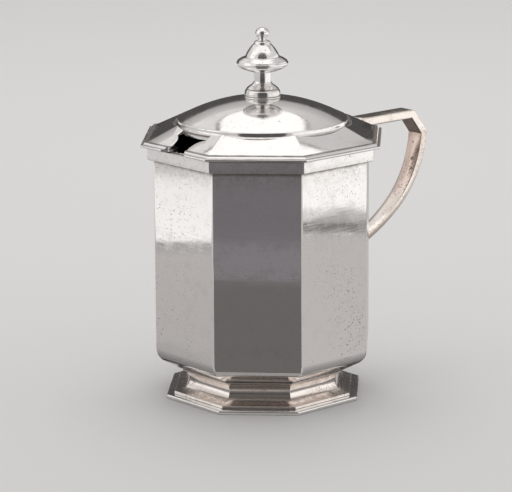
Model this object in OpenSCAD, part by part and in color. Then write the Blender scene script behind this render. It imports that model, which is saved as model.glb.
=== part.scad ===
// Octagonal table mustard pot with a hinged lid, a strap handle and a lift-out glass liner.
// The origin is the centre of the foot's underside, +Z is up, the handle lies along +X
// and the spoon notch of the lid lies along -X. Octagonal pieces are given by their apothem,
// which is half of the distance across the flats, and all lengths are in millimetres.

/* [Body] */
// Distance across the flats of the body
body_flats = 54; // [50:0.5:58]
// Height of the mouth above the table
mouth_h = 66.2; // [60:0.5:80]
// Thickness of the sheet that the body, the lid and the bezel are made of
sheet = 0.9; // [0.7:0.05:1.1]
// Radius of the rounded lower edge of the body
lower_edge_r = 4; // [3:0.25:5]
// Slope of the underside between the rounded edge and the foot, in degrees
underside_slope = 30; // [22:1:35]
// How far the rim band stands out from the body
band_t = 1.6; // [1.2:0.1:2]
// Height of the rim band
band_h = 3.1; // [2.6:0.1:5]

/* [Foot] */
// How far the edge of the foot stands in from the body's side
foot_in = 2.5; // [1:0.25:4.5]
// Height of the foot, up to the flat underside of the body
foot_h = 7.4; // [6:0.2:10]
// How far the upper end of the foot stands in from its edge
foot_spread = 4.1; // [3.4:0.1:5]
// How far the narrowest place of the foot stands in from its upper end
neck_in = 1.7; // [1.2:0.1:2.4]
// Height of the flat rim under the foot
foot_rim_h = 1; // [0.8:0.1:1.4]
// Width of the flat rim under the foot
foot_rim_w = 3.8; // [3.2:0.1:5]
// Thickness of the cast foot
foot_t = 1.1; // [0.9:0.1:1.4]

/* [Handle] */
// Width of the strap at its arm
handle_w = 5; // [4.5:0.25:7]
// Width of the strap at the end of its tail
tail_w = 4.4; // [3.5:0.1:4.5]
// Thickness of the strap at its arm
handle_t = 2.3; // [1.6:0.1:2.6]
// Thickness of the strap at the end of its tail
tail_t = 1.4; // [1.2:0.1:2]
// Distance from the body's side to the outside of the handle
handle_out = 30.15; // [27:0.05:34]
// Radius of the upper bow of the handle, on its outside
bow_r = 28.9; // [26:0.1:32]
// Radius of the flatter tail of the handle, on its outside
tail_r = 52; // [46:1:64]
// How far the bow turns before the tail begins, in degrees
bow_turn = 51.5; // [46:0.5:56]
// Height of the arm's upper face above the hinge axis
arm_rise = 0.7; // [0.5:0.1:1.2]
// Length that the slanted corner cuts from the arm
corner_cut = 4.8; // [4:0.2:7]
// Height of the slanted corner
corner_drop = 6.2; // [5:0.2:8]
// Outside radius of the bend between the arm and the slanted corner
corner_r = 2; // [1.5:0.1:3]
// Thickness of the tongue that joins the arm to the rim band
tongue_t = 1.6; // [1.2:0.1:1.8]
// Bevel of the arm's upper corner beside the hinge, which lets the lid lean back
arm_bevel = 0.4; // [0.3:0.05:0.6]

/* [Hinge] */
// Distance from the edge of the lid to the hinge axis
hinge_out = 1.65; // [1.6:0.05:2.2]
// Height of the hinge axis above the mouth
hinge_rise = 0.7; // [0.5:0.1:1]
// Radius of the hinge knuckles
knuckle_r = 1.15; // [1.05:0.05:1.25]
// Width of the middle knuckle, which is on the lid
mid_knuckle_w = 1.9; // [1.6:0.1:2.4]
// Radius of the hinge pin
pin_r = 0.5; // [0.4:0.05:0.6]
// Thickness of the plate under the pot's knuckles
leaf_t = 0.55; // [0.4:0.05:0.8]
// How far the lid's hinge leaf reaches onto the flange
leaf_reach = 1.5; // [1:0.1:2.5]
// Thickness of the lid's hinge leaf over the lid's edge
pad_t = 1.35; // [1.2:0.05:1.5]
// Thickness of the lid's hinge leaf at its tip
pad_tip_t = 0.55; // [0.4:0.05:0.8]

/* [Lid] */
// How far the edge of the lid stands out over the rim band
lid_overhang = 1.65; // [1.2:0.05:2.4]
// Width of the moulded edge of the lid
edge_w = 1.75; // [1.4:0.05:2.2]
// Height of the upright face of the moulded edge
edge_h = 0.7; // [0.5:0.05:1]
// Height of the moulded edge at its inner crest
crest_h = 1.35; // [1.2:0.05:2]
// Slope of the flange, in degrees
flange_slope = 27; // [20:1:30]
// Width of the flange, from the moulded edge to the ring, across the flats
flange_w = 5.6; // [5:0.1:6]
// Width of the moulded ring round the dome
ring_w = 1.5; // [1.35:0.05:1.8]
// Height of the ring above the flange
ring_h = 1.5; // [1.3:0.05:2]
// Height of the dome
dome_h = 5.5; // [3.5:0.25:7]
// Depth of the bezel that keeps the lid over the mouth
bezel_h = 2; // [1.4:0.1:3]

/* [Spoon notch] */
// Width of the notch at its waist
notch_waist = 6.1; // [5:0.1:7]
// Radius of the rounded cheeks on both sides of the notch
notch_cheek_r = 3.6; // [3.2:0.1:4]
// Distance from the lid's edge to the middle of the cheeks
notch_cheek_in = 2.95; // [2.6:0.05:3.4]
// Width of the notch at its inner end
notch_inner_w = 10.6; // [10:0.2:12]

/* [Finial] */
// Radius of the finial's base
base_r = 4.8; // [4:0.1:5.4]
// Height of the finial's base, with its upper step
base_h = 1.4; // [1.2:0.1:1.8]
// Radius of the finial's stem
stem_r = 2.2; // [1.9:0.1:2.6]
// Height of the sweep between the base and the stem
sweep_h = 2.9; // [2:0.1:4]
// Height of the stem
stem_h = 2.15; // [1:0.05:3]
// Radius of the brim
brim_r = 6.6; // [5.5:0.1:7.5]
// Height of the bowl under the brim
bowl_h = 2.35; // [2:0.05:3.5]
// Height of the sloping top of the brim
brim_h = 1.8; // [1.2:0.1:2.5]
// Radius of the bell above the brim
bell_r = 4.3; // [3.6:0.1:5]
// Height of the bell
bell_h = 3.75; // [3:0.25:5]
// Radius of the ball on top, and of the bell's upper edge
ball_r = 1.75; // [1.4:0.05:2.2]
// Height of the ball on top
ball_h = 3; // [2.4:0.1:4]
// Radius of the stud that holds the finial
stud_r = 1; // [0.8:0.1:1.2]
// Length of the stud inside the finial
stud_grip = 4; // [3:0.5:5]
// Thickness of the washer under the dome
washer_t = 0.5; // [0.4:0.1:0.8]
// Radius of the washer under the dome
washer_r = 3.2; // [2.8:0.1:4]
// Distance across the flats of the nut
nut_flats = 4.6; // [4:0.1:5.5]
// Thickness of the nut
nut_t = 1.7; // [1.4:0.1:2.2]
// Length of the stud that stands out under the nut
stud_end = 0.5; // [0.3:0.1:0.8]

/* [Liner] */
// Thickness of the glass wall
glass_t = 2; // [1.5:0.1:3]
// Thickness of the glass floor
glass_floor_t = 3; // [2:0.25:4]
// Gap between the liner's rim and the bezel above it
liner_drop = 1; // [0.8:0.1:3]

/* [Clearances] */
// Gap between the closed lid and the mouth
lid_gap = 0.2; // [0.15:0.05:0.4]
// Gap between the bezel and the inside of the body
bezel_gap = 0.4; // [0.35:0.05:0.7]
// Gap between the liner and the inside of the body
liner_gap = 0.5; // [0.4:0.1:1]
// Gap between the liner's rounded lower edge and the body's sloping floor
liner_edge_gap = 0.3; // [0.2:0.1:0.6]
// Gap round the lid's knuckle
knuckle_gap = 0.3; // [0.25:0.05:0.4]
// Gap between the ends of neighbouring knuckles
knuckle_end_gap = 0.1; // [0.08:0.02:0.2]
// Gap between the pin and the lid's knuckle
pin_gap = 0.05; // [0.03:0.01:0.08]
// Solder gap between the moulded ring and the flange round it
ring_gap = 0.02; // [0.02:0.01:0.1]
// Gap between the stud and the holes in the dome and the washer
stud_gap = 0.1; // [0.05:0.05:0.2]

/* [Hidden] */

SIDES = 8;
ROUND = 96;
ARC_STEPS = 8;
half_turn = 180 / SIDES;
cut = 1;

silver = [0.84, 0.83, 0.82];
worn_silver = [0.72, 0.70, 0.68];
blue_glass = [0.07, 0.09, 0.30, 0.6];

// Body and foot
body_a = body_flats / 2;
inner_a = body_a - sheet;
band_a = body_a + band_t;
foot_a = body_a - foot_in;
foot_top_a = foot_a - foot_spread;
neck_a = foot_top_a - neck_in;
floor_z = foot_h + sheet;
edge_turn = 90 - underside_slope;
edge_c = [
  body_a - lower_edge_r,
  foot_h + (body_a - lower_edge_r * (1 - cos(edge_turn)) - foot_top_a) * tan(underside_slope)
    + lower_edge_r * sin(edge_turn)
];

// Lid
lid_a = band_a + lid_overhang;
lid_z = mouth_h + lid_gap;
edge_in_a = lid_a - edge_w;
groove_w = 0.8;
groove_rise = 0.2;
crest_w = 0.45;
crest_step = 0.1;
lid_edge_top = [
  [lid_a, lid_z + edge_h],
  [lid_a - groove_w * 2 / 3, lid_z + edge_h + groove_rise / 4],
  [lid_a - groove_w, lid_z + edge_h + groove_rise],
  [edge_in_a + crest_w, lid_z + crest_h],
  [edge_in_a, lid_z + crest_h - crest_step / 3]
];
flange_edge_z = lid_z + crest_h - crest_step;
bezel_a = inner_a - bezel_gap;
bezel_plate_t = sheet * 2 / 3;
ring_r = edge_in_a - flange_w;
ring_bottom_z = flange_top(ring_r) - sheet;
dome_r = ring_r - ring_w;
dome_power = 2.1;
spring_z = flange_top(ring_r) + ring_h;
ring_ledge_z = spring_z - sheet;
ring_lip = 0.25;
ring_ledge_w = sheet + ring_lip;
seat_margin = 0.1;
seat_r = base_r + seat_margin;
seat_z = dome_z(seat_r);

// Hinge
hinge_x = lid_a + hinge_out;
hinge_z = mouth_h + hinge_rise;
leaf_top_z = hinge_z - knuckle_r - knuckle_gap;
tongue_top_z = leaf_top_z - leaf_t;
arm_x = hinge_x + knuckle_r + knuckle_gap;
leaf_lip = 0.15;
leaf_in_x = hinge_x - knuckle_r - leaf_lip;
side_knuckle_w = (handle_w - mid_knuckle_w) / 2 - knuckle_end_gap;
pad_top_z = lid_z + edge_h + pad_t;
link_top_turn = 120;
link_low_turn = 160;

// Handle
handle_reach = body_a + handle_out;
arm_z = hinge_z + arm_rise;
corner_top = [handle_reach - corner_cut, arm_z];
corner_low = [handle_reach, arm_z - corner_drop];
knee_len = 2.6;
bow_start = 4.3;
bow_c = corner_low - bow_r * [cos(bow_start), -sin(bow_start)];
tail_c = bow_c + (tail_r - bow_r) * [-cos(bow_turn), sin(bow_turn)];
arm_normal = [0, -1];
slant = (corner_low - corner_top) / norm(corner_low - corner_top);
slant_normal = [slant[1], -slant[0]];
bow_normal = [-cos(bow_start), sin(bow_start)];
bend_len = corner_r * tan(acos(-slant_normal[1]) / 2);
bend_c = [corner_top[0] - bend_len, arm_z - corner_r];

// Finial
stem_z = seat_z + base_h + sweep_h;
bowl_z = stem_z + stem_h;
brim_z = bowl_z + bowl_h;
bell_z = brim_z + brim_h;
ball_seat_z = bell_z + bell_h;
ball_neck_r = 0.9;
ball_neck_h = 0.8;
ball_neck_turn = acos(ball_neck_r / ball_r);
ball_z = ball_seat_z + ball_neck_h + ball_h / 2 * sin(ball_neck_turn);
washer_z = seat_z - sheet - washer_t;
nut_z = washer_z - nut_t;

// Liner, with a lower edge just round enough to clear the sloping part of the floor
in_edge_r = lower_edge_r - sheet;
in_edge_end = edge_c + in_edge_r * [cos(edge_turn), -sin(edge_turn)];
floor_a = in_edge_end[0] - (in_edge_end[1] - floor_z) / tan(underside_slope);
glass_r = inner_a - liner_gap;
glass_edge_r = (liner_edge_gap + (glass_r - floor_a) * sin(underside_slope))
  / (sin(underside_slope) + cos(underside_slope) - 1);
glass_top_z = lid_z - bezel_h - liner_drop;

// Points on an arc from one angle to another, without the first one where the outline has it already
function arc_points(centre, r, from, to, steps = ARC_STEPS, first = 0) =
  [for (i = [first:steps]) let (a = from + (to - from) * i / steps) centre + r * [cos(a), sin(a)]];

// Points on a quarter ellipse that is hollow towards the outside
function hollow_points(centre, width, height, from, to, first = 0) =
  [for (i = [first:ARC_STEPS]) let (a = from + (to - from) * i / ARC_STEPS)
    centre - [width * cos(a), height * sin(a)]];

// Points on an S-shaped sweep from one radius and height to another
function sweep_points(start, end, steps = ARC_STEPS) =
  [for (i = [0:steps]) let (s = (1 + cos(180 * i / steps)) / 2)
    [end[0] + (start[0] - end[0]) * s, start[1] + (end[1] - start[1]) * i / steps]];

// Height of the dome's outer face at a radius
function dome_z(r) = spring_z + dome_h * (1 - pow(r / dome_r, dome_power));

// Height of the flange's upper face at an apothem
function flange_top(a) = flange_edge_z + (edge_in_a - a) * tan(flange_slope);

// Inner corner of the strap where two stretches with these inward normals meet
function strap_corner(outer, normal_a, normal_b) =
  outer + handle_t * (normal_a + normal_b) / (1 + normal_a * normal_b);

// Points on the inside of a stretch of the strap, whose thickness changes evenly along it
function strap_inside(centre, r, from, to, from_t, to_t, steps, first = 0) =
  [for (i = [first:steps]) let (s = i / steps, a = from + (to - from) * s)
    centre + (r - from_t - (to_t - from_t) * s) * [cos(a), sin(a)]];

// A turned shape with eight flat sides, from points of apothem and height
module octagon_turn(points) {
  rotate([0, 0, half_turn])
    rotate_extrude($fn = SIDES)
      polygon([for (p = points) [p[0] / cos(half_turn), p[1]]]);
}

// An upright octagonal prism
module octagon_prism(apothem, low, high) {
  translate([0, 0, low])
    rotate([0, 0, half_turn])
      cylinder(h = high - low, r = apothem / cos(half_turn), $fn = SIDES);
}

// A plate across the handle's plane, from points of distance and height
module cross_plate(points, width) {
  rotate([90, 0, 0])
    linear_extrude(height = width, center = true)
      polygon(points);
}

// A round bar along the hinge axis
module hinge_bar(r, length) {
  translate([hinge_x, 0, hinge_z])
    rotate([90, 0, 0])
      cylinder(h = length, r = r, center = true, $fn = ROUND);
}

// The spoon notch, cut down through the lid from its edge to the ring
module notch_cutter() {
  inner_x = sqrt(pow(ring_r, 2) - pow(notch_inner_w / 2, 2));
  translate([0, 0, lid_z - bezel_h - cut])
    linear_extrude(height = spring_z - lid_z + bezel_h + 2 * cut)
      difference() {
        translate([-lid_a - cut, -notch_inner_w / 2])
          square([lid_a + cut - inner_x, notch_inner_w]);
        for (side = [-1, 1])
          translate([notch_cheek_in - lid_a, side * (notch_waist / 2 + notch_cheek_r)])
            circle(r = notch_cheek_r, $fn = ROUND);
      }
}

module body_shell() {
  color(silver)
    difference() {
      octagon_turn(concat(
        [[0, foot_h], [foot_top_a, foot_h]],
        arc_points(edge_c, lower_edge_r, -edge_turn, 0),
        [[body_a, mouth_h], [0, mouth_h]]
      ));
      octagon_turn(concat(
        [[0, floor_z], [floor_a, floor_z]],
        arc_points(edge_c, in_edge_r, -edge_turn, 0),
        [[inner_a, mouth_h + cut], [0, mouth_h + cut]]
      ));
    }
}

module rim_band() {
  color(silver)
    difference() {
      octagon_prism(band_a, mouth_h - band_h, mouth_h);
      octagon_prism(body_a, mouth_h - band_h - cut, mouth_h + cut);
    }
}

module foot() {
  step_in = 1.9;
  step_h = 0.5;
  step_round = 0.25;
  crest_in = 2.35;
  lip = 0.5;
  neck_share = 0.53;
  step_a = foot_a - step_in;
  crest_a = foot_a - crest_in;
  crest_z = foot_rim_h + step_h + step_round;
  neck_z = crest_z + (foot_h - lip - crest_z) * neck_share;
  curve_c = [crest_a, neck_z];
  curve_w = crest_a - neck_a;
  curve_h = neck_z - crest_z;
  inside_turn = asin((neck_z - foot_rim_h) / (curve_h + foot_t));
  inside_a = crest_a - (curve_w + foot_t) * cos(inside_turn);
  color(worn_silver)
    difference() {
      octagon_turn(concat(
        [[0, foot_rim_h], [step_a, foot_rim_h], [step_a, foot_rim_h + step_h]],
        [[step_a - step_round, crest_z]],
        hollow_points(curve_c, curve_w, curve_h, 90, 0),
        hollow_points([foot_top_a, neck_z], foot_top_a - neck_a, neck_z - foot_h + lip, 0, 90, first = 1),
        [[foot_top_a, foot_h], [0, foot_h]]
      ));
      octagon_turn(concat(
        [[0, foot_rim_h - cut], [inside_a, foot_rim_h - cut]],
        hollow_points(curve_c, curve_w + foot_t, curve_h + foot_t, inside_turn, 0),
        [[neck_a - foot_t, foot_h + cut], [0, foot_h + cut]]
      ));
    }
}

module foot_rim() {
  round_over = 0.25;
  color(silver)
    difference() {
      octagon_turn([
        [0, 0],
        [foot_a, 0],
        [foot_a, foot_rim_h - round_over],
        [foot_a - round_over, foot_rim_h],
        [0, foot_rim_h]
      ]);
      octagon_prism(foot_a - foot_rim_w, -cut, foot_rim_h + cut);
    }
}

module handle() {
  inner_top = strap_corner(corner_top, arm_normal, slant_normal);
  inner_low = strap_corner(corner_low, slant_normal, bow_normal);
  inner_low_turn = atan2(inner_low[1] - bow_c[1], inner_low[0] - bow_c[0]);
  mid_t = (handle_t + tail_t) / 2;
  tail_end = acos((body_a - tail_c[0]) / tail_r);
  tail_in_end = acos((body_a - tail_c[0]) / (tail_r - tail_t));
  tail_low_z = tail_c[1] - tail_r;
  slant_turn = acos(-slant_normal[1]);
  color(silver)
    intersection() {
      cross_plate(concat(
        [[arm_x, arm_z - arm_bevel], [arm_x + arm_bevel, arm_z]],
        arc_points(bend_c, corner_r, 90, 90 - slant_turn, 5),
        arc_points(bow_c, bow_r, -bow_start, -bow_turn, 16),
        arc_points(tail_c, tail_r, -bow_turn, -tail_end, 10, first = 1),
        strap_inside(tail_c, tail_r, -tail_in_end, -bow_turn, tail_t, mid_t, 10),
        strap_inside(bow_c, bow_r, -bow_turn, inner_low_turn - 2, mid_t, handle_t, 16, first = 1),
        [inner_low, inner_top, [arm_x + knee_len, arm_z - handle_t], [arm_x, tongue_top_z - tongue_t]],
        [[band_a, tongue_top_z - tongue_t], [band_a, tongue_top_z], [arm_x, tongue_top_z]]
      ), handle_w);
      rotate([90, 0, 90])
        linear_extrude(height = handle_reach + cut)
          polygon([
            [-tail_w / 2, tail_low_z],
            [tail_w / 2, tail_low_z],
            [handle_w / 2, corner_low[1]],
            [handle_w / 2, arm_z + cut],
            [-handle_w / 2, arm_z + cut],
            [-handle_w / 2, corner_low[1]]
          ]);
    }
}

module pot_hinge_leaf() {
  color(worn_silver)
    difference() {
      union() {
        cross_plate([
          [leaf_in_x, tongue_top_z],
          [arm_x, tongue_top_z],
          [arm_x, leaf_top_z],
          [leaf_in_x, leaf_top_z]
        ], handle_w);
        for (side = [-1, 1])
          translate([0, side * (handle_w - side_knuckle_w) / 2, 0]) {
            hinge_bar(knuckle_r, side_knuckle_w);
            cross_plate([
              [hinge_x - knuckle_r, leaf_top_z],
              [arm_x, leaf_top_z],
              [arm_x, hinge_z],
              [hinge_x - knuckle_r, hinge_z]
            ], side_knuckle_w);
          }
      }
      hinge_bar(pin_r, handle_w + 2 * cut);
    }
}

module hinge_pin() {
  color(worn_silver)
    hinge_bar(pin_r, handle_w);
}

module lid_hinge_leaf() {
  tip_x = edge_in_a - leaf_reach;
  crest_rise = 0.4;
  color(worn_silver)
    difference() {
      union() {
        hinge_bar(knuckle_r, mid_knuckle_w);
        cross_plate(concat(
          [[lid_a, pad_top_z], [lid_a, lid_z + edge_h]],
          arc_points([hinge_x, hinge_z], knuckle_r, link_low_turn, link_top_turn, 1)
        ), mid_knuckle_w);
        cross_plate(concat(
          [[lid_a, pad_top_z]],
          lid_edge_top,
          [[edge_in_a, flange_edge_z], [tip_x, flange_top(tip_x)]],
          [[tip_x, flange_top(tip_x) + pad_tip_t], [edge_in_a + crest_w, pad_top_z + crest_rise]]
        ), handle_w);
      }
      hinge_bar(pin_r + pin_gap, handle_w + 2 * cut);
    }
}

module glass_liner() {
  in_r = glass_r - glass_t;
  in_floor = floor_z + glass_floor_t;
  bottom_r = glass_edge_r - glass_t / 2;
  lip_r = glass_t / 2;
  color(blue_glass)
    rotate_extrude($fn = ROUND)
      polygon(concat(
        [[0, floor_z]],
        arc_points([glass_r - glass_edge_r, floor_z + glass_edge_r], glass_edge_r, -90, 0),
        arc_points([glass_r - lip_r, glass_top_z - lip_r], lip_r, 0, 180),
        arc_points([in_r - bottom_r, in_floor + bottom_r], bottom_r, 0, -90),
        [[0, in_floor]]
      ));
}

module lid_flange() {
  inner = ring_r * cos(half_turn) - cut;
  rest_w = 1.3;
  under = edge_in_a - rest_w;
  color(silver)
    difference() {
      octagon_turn([
        [edge_in_a, lid_z + bezel_plate_t],
        [edge_in_a, flange_edge_z],
        [inner, flange_top(inner)],
        [inner, flange_top(inner) - sheet],
        [under, flange_top(under) - sheet]
      ]);
      cylinder(h = 2 * mouth_h, r = ring_r + ring_gap, $fn = ROUND);
      notch_cutter();
    }
}

module lid_edge() {
  color(silver)
    difference() {
      octagon_turn(concat([[edge_in_a, lid_z], [lid_a, lid_z]], lid_edge_top));
      notch_cutter();
    }
}

module lid_ring() {
  bead_r = 0.35;
  bead_rise = 0.1;
  riser_h = 0.4;
  base_rise = 0.12;
  riser_r = dome_r + bead_r;
  bead_z = spring_z + bead_rise - bead_r;
  base_z = flange_top(ring_r) + base_rise;
  cove_c = [ring_r, bead_z - riser_h];
  color(silver)
    rotate_extrude($fn = ROUND)
      polygon(concat(
        [[dome_r - ring_ledge_w, ring_bottom_z], [ring_r, ring_bottom_z]],
        hollow_points(cove_c, ring_r - riser_r, cove_c[1] - base_z, 90, 0),
        arc_points([dome_r, bead_z], bead_r, 0, 90),
        [[dome_r, spring_z], [dome_r, ring_ledge_z], [dome_r - ring_ledge_w, ring_ledge_z]]
      ));
}

module lid_dome() {
  steps = 14;
  radii = [for (i = [0:steps]) seat_r + (dome_r - seat_r) * i / steps];
  skirt_r = dome_r - sheet;
  under = [for (r = radii) if (r < skirt_r - sheet / 2) [r, dome_z(r) - sheet]];
  color(silver)
    rotate_extrude($fn = ROUND)
      polygon(concat(
        [[stud_r + stud_gap, seat_z]],
        [for (r = radii) [r, dome_z(r)]],
        [[dome_r, ring_ledge_z], [skirt_r, ring_ledge_z]],
        [for (i = [len(under) - 1:-1:0]) under[i]],
        [[stud_r + stud_gap, seat_z - sheet]]
      ));
}

module lid_bezel() {
  plate_top = lid_z + bezel_plate_t;
  color(worn_silver)
    difference() {
      octagon_turn([
        [bezel_a - sheet, lid_z - bezel_h],
        [bezel_a, lid_z - bezel_h],
        [bezel_a, lid_z],
        [edge_in_a, lid_z],
        [edge_in_a, plate_top],
        [bezel_a - sheet, plate_top]
      ]);
      notch_cutter();
    }
}

module finial() {
  step_in = 0.3;
  step_r = base_r - step_in;
  step_z = seat_z + base_h / 2;
  round_over = 0.2;
  rim_t = 0.65;
  bowl_power = 0.8;
  bell_power = 1.4;
  bowl_steps = 8;
  bowl = [for (i = [0:bowl_steps]) let (t = i / bowl_steps)
    [stem_r + (brim_r - stem_r) * sin(90 * pow(t, bowl_power)), bowl_z + bowl_h * t]];
  bell = [for (i = [0:bowl_steps]) let (t = i / bowl_steps)
    [bell_r - (bell_r - ball_r) * pow(t, bell_power), bell_z + bell_h * t]];
  ball = [for (p = arc_points([0, 0], ball_r, -ball_neck_turn, 90))
    [p[0], ball_z + p[1] * ball_h / 2 / ball_r]];
  color(silver)
    difference() {
      rotate_extrude($fn = ROUND)
        polygon(concat(
          [[0, seat_z], [base_r - round_over, seat_z], [base_r, seat_z + round_over]],
          [[base_r, step_z - round_over], [step_r, step_z]],
          sweep_points([step_r, seat_z + base_h], [stem_r, stem_z]),
          bowl,
          [[brim_r, brim_z + round_over], [brim_r - round_over / 2, brim_z + rim_t]],
          bell,
          ball
        ));
      translate([0, 0, seat_z - cut])
        cylinder(h = stud_grip + cut, r = stud_r, $fn = ROUND);
    }
}

module finial_stud() {
  color(worn_silver)
    translate([0, 0, nut_z - stud_end])
      cylinder(h = seat_z + stud_grip - nut_z + stud_end, r = stud_r, $fn = ROUND);
}

module finial_washer() {
  color(worn_silver)
    translate([0, 0, washer_z])
      difference() {
        cylinder(h = washer_t, r = washer_r, $fn = ROUND);
        translate([0, 0, -cut])
          cylinder(h = washer_t + 2 * cut, r = stud_r + stud_gap, $fn = ROUND);
      }
}

module finial_nut() {
  nut_sides = 6;
  color(worn_silver)
    translate([0, 0, nut_z])
      difference() {
        cylinder(h = nut_t, r = nut_flats / 2 / cos(180 / nut_sides), $fn = nut_sides);
        translate([0, 0, -cut])
          cylinder(h = nut_t + 2 * cut, r = stud_r, $fn = ROUND);
      }
}

body_shell();
rim_band();
foot();
foot_rim();
handle();
pot_hinge_leaf();
hinge_pin();
glass_liner();
lid_flange();
lid_edge();
lid_ring();
lid_dome();
lid_bezel();
lid_hinge_leaf();
finial();
finial_stud();
finial_washer();
finial_nut();
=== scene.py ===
"""Looks of an eight-sided silver mustard pot: meshes, materials, studio and camera.

Lengths in the shape tables are millimetres in the frame of the solids: the origin is the
centre of the foot's underside, +Z is up and the handle lies along +X. Eight-sided pieces are
given by their apothem, round ones by their radius. Lengths in the studio are metres.
"""

import math

import bmesh
import bpy
from mathutils import Matrix, Vector


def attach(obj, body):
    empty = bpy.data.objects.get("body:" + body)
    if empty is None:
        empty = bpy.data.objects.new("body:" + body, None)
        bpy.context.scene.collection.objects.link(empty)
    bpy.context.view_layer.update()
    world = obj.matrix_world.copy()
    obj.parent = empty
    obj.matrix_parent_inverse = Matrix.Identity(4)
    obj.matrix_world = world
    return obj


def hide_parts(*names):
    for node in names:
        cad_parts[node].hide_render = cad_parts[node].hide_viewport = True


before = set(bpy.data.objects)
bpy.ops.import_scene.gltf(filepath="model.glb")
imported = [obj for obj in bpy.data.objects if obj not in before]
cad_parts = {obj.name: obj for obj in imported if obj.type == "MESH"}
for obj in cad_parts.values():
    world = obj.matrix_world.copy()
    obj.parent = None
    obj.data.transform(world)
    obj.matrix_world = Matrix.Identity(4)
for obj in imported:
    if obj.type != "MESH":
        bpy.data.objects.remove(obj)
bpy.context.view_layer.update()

MM = 0.001
SIDES = 8
ROUND = 144
FINIAL_ROUND = 96
HALF_TURN = math.pi / SIDES
ARC_STEPS = 10
ON_AXIS = 1e-6
WELD = 1e-7

# Sizes that several pieces share
BODY_A = 27.0
MOUTH_Z = 66.2
BAND_A = 28.6
BAND_Z = 63.1
FOOT_TOP_A = 20.4
FOOT_TOP_Z = 7.4
FOOT_RIM_Z = 1.0
FLOOR_Z = 8.3
SHEET = 0.9
LID_A = 30.25
LID_Z = 66.4
LID_EDGE_IN_A = 28.5
LID_GROOVE_Z = 67.06
FLANGE_EDGE_Z = 67.65
FLANGE_SLOPE = math.tan(math.radians(27))
FLANGE_W = 5.6
PLATE_TOP_Z = 67.0
RING_R = LID_EDGE_IN_A - FLANGE_W
RING_W = 1.5
RING_H = 1.5
RING_FOOT_Z = FLANGE_EDGE_Z + FLANGE_W * FLANGE_SLOPE
DOME_R = RING_R - RING_W
DOME_FOOT_Z = RING_FOOT_Z + RING_H
DOME_H = 5.5
DOME_POWER = 2.1
SEAT_R = 4.9
HINGE = (31.9, 66.9)
KNUCKLE_R = 1.15
ARM_X = 33.35
STRAP_W = 5.0


# Outline helpers, in millimetres and degrees

def arc(centre, r, start, end, steps=ARC_STEPS):
    """Points on a circular arc."""
    turns = [math.radians(start + (end - start) * i / steps) for i in range(steps + 1)]
    return [(centre[0] + r * math.cos(t), centre[1] + r * math.sin(t)) for t in turns]


def hollow(centre, width, height, start, end, steps=ARC_STEPS):
    """Points on part of an ellipse that is hollow towards the outside."""
    turns = [math.radians(start + (end - start) * i / steps) for i in range(steps + 1)]
    return [(centre[0] - width * math.cos(t), centre[1] - height * math.sin(t)) for t in turns]


def sweep(start, end, steps):
    """Points on an S-shaped sweep."""
    points = []
    for i in range(steps + 1):
        s = (1 + math.cos(math.pi * i / steps)) / 2
        r = end[0] + (start[0] - end[0]) * s
        points.append((r, start[1] + (end[1] - start[1]) * i / steps))
    return points


def dome_z(r):
    """Height of the dome's outer face at a radius."""
    return DOME_FOOT_Z + DOME_H * (1 - (r / DOME_R) ** DOME_POWER)


def flange_z(a):
    """Height of the flange's upper face at an apothem."""
    return FLANGE_EDGE_Z + (LID_EDGE_IN_A - a) * FLANGE_SLOPE


SEAT_Z = dome_z(SEAT_R)


# Mesh helpers

def turned(profile, sides=ROUND):
    """A mesh turned round the axis from a closed outline of radius (or apothem) and height."""
    bm = bmesh.new()
    octagon = sides == SIDES
    stretch = 1 / math.cos(HALF_TURN) if octagon else 1.0
    offset = HALF_TURN if octagon else 0.0
    rings = []
    for r, z in profile:
        if r < ON_AXIS:
            rings.append([bm.verts.new((0, 0, z * MM))])
            continue
        ring = []
        for i in range(sides):
            t = offset + 2 * math.pi * i / sides
            x, y = r * stretch * math.cos(t), r * stretch * math.sin(t)
            ring.append(bm.verts.new((x * MM, y * MM, z * MM)))
        rings.append(ring)
    for low, high in zip(rings, rings[1:] + rings[:1]):
        if len(low) == 1 and len(high) == 1:
            continue
        for i in range(sides):
            j = (i + 1) % sides
            corners = [low[k % len(low)] for k in (i, j)] + [high[k % len(high)] for k in (j, i)]
            bm.faces.new(list(dict.fromkeys(corners)))
    return bm


def plate(outline, y_low, y_high, bm=None):
    """A plate across the handle's plane, from an outline of distance and height."""
    bm = bm or bmesh.new()
    near = [bm.verts.new((x * MM, y_low * MM, z * MM)) for x, z in outline]
    far = [bm.verts.new((x * MM, y_high * MM, z * MM)) for x, z in outline]
    bm.faces.new(near)
    bm.faces.new(list(reversed(far)))
    for i in range(len(outline)):
        j = (i + 1) % len(outline)
        bm.faces.new((near[j], near[i], far[i], far[j]))
    return bm


def upright(outline, z_low, z_high):
    """A block with an outline in plan."""
    bm = bmesh.new()
    low = [bm.verts.new((x * MM, y * MM, z_low * MM)) for x, y in outline]
    high = [bm.verts.new((x * MM, y * MM, z_high * MM)) for x, y in outline]
    bm.faces.new(list(reversed(low)))
    bm.faces.new(high)
    for i in range(len(outline)):
        j = (i + 1) % len(outline)
        bm.faces.new((low[i], low[j], high[j], high[i]))
    return bm


def to_mesh(bm, name):
    bmesh.ops.remove_doubles(bm, verts=bm.verts, dist=WELD)
    bmesh.ops.recalc_face_normals(bm, faces=bm.faces)
    mesh = bpy.data.meshes.new(name)
    bm.to_mesh(mesh)
    bm.free()
    return mesh


def new_object(name, data):
    obj = bpy.data.objects.new(name, data)
    bpy.context.scene.collection.objects.link(obj)
    return obj


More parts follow.
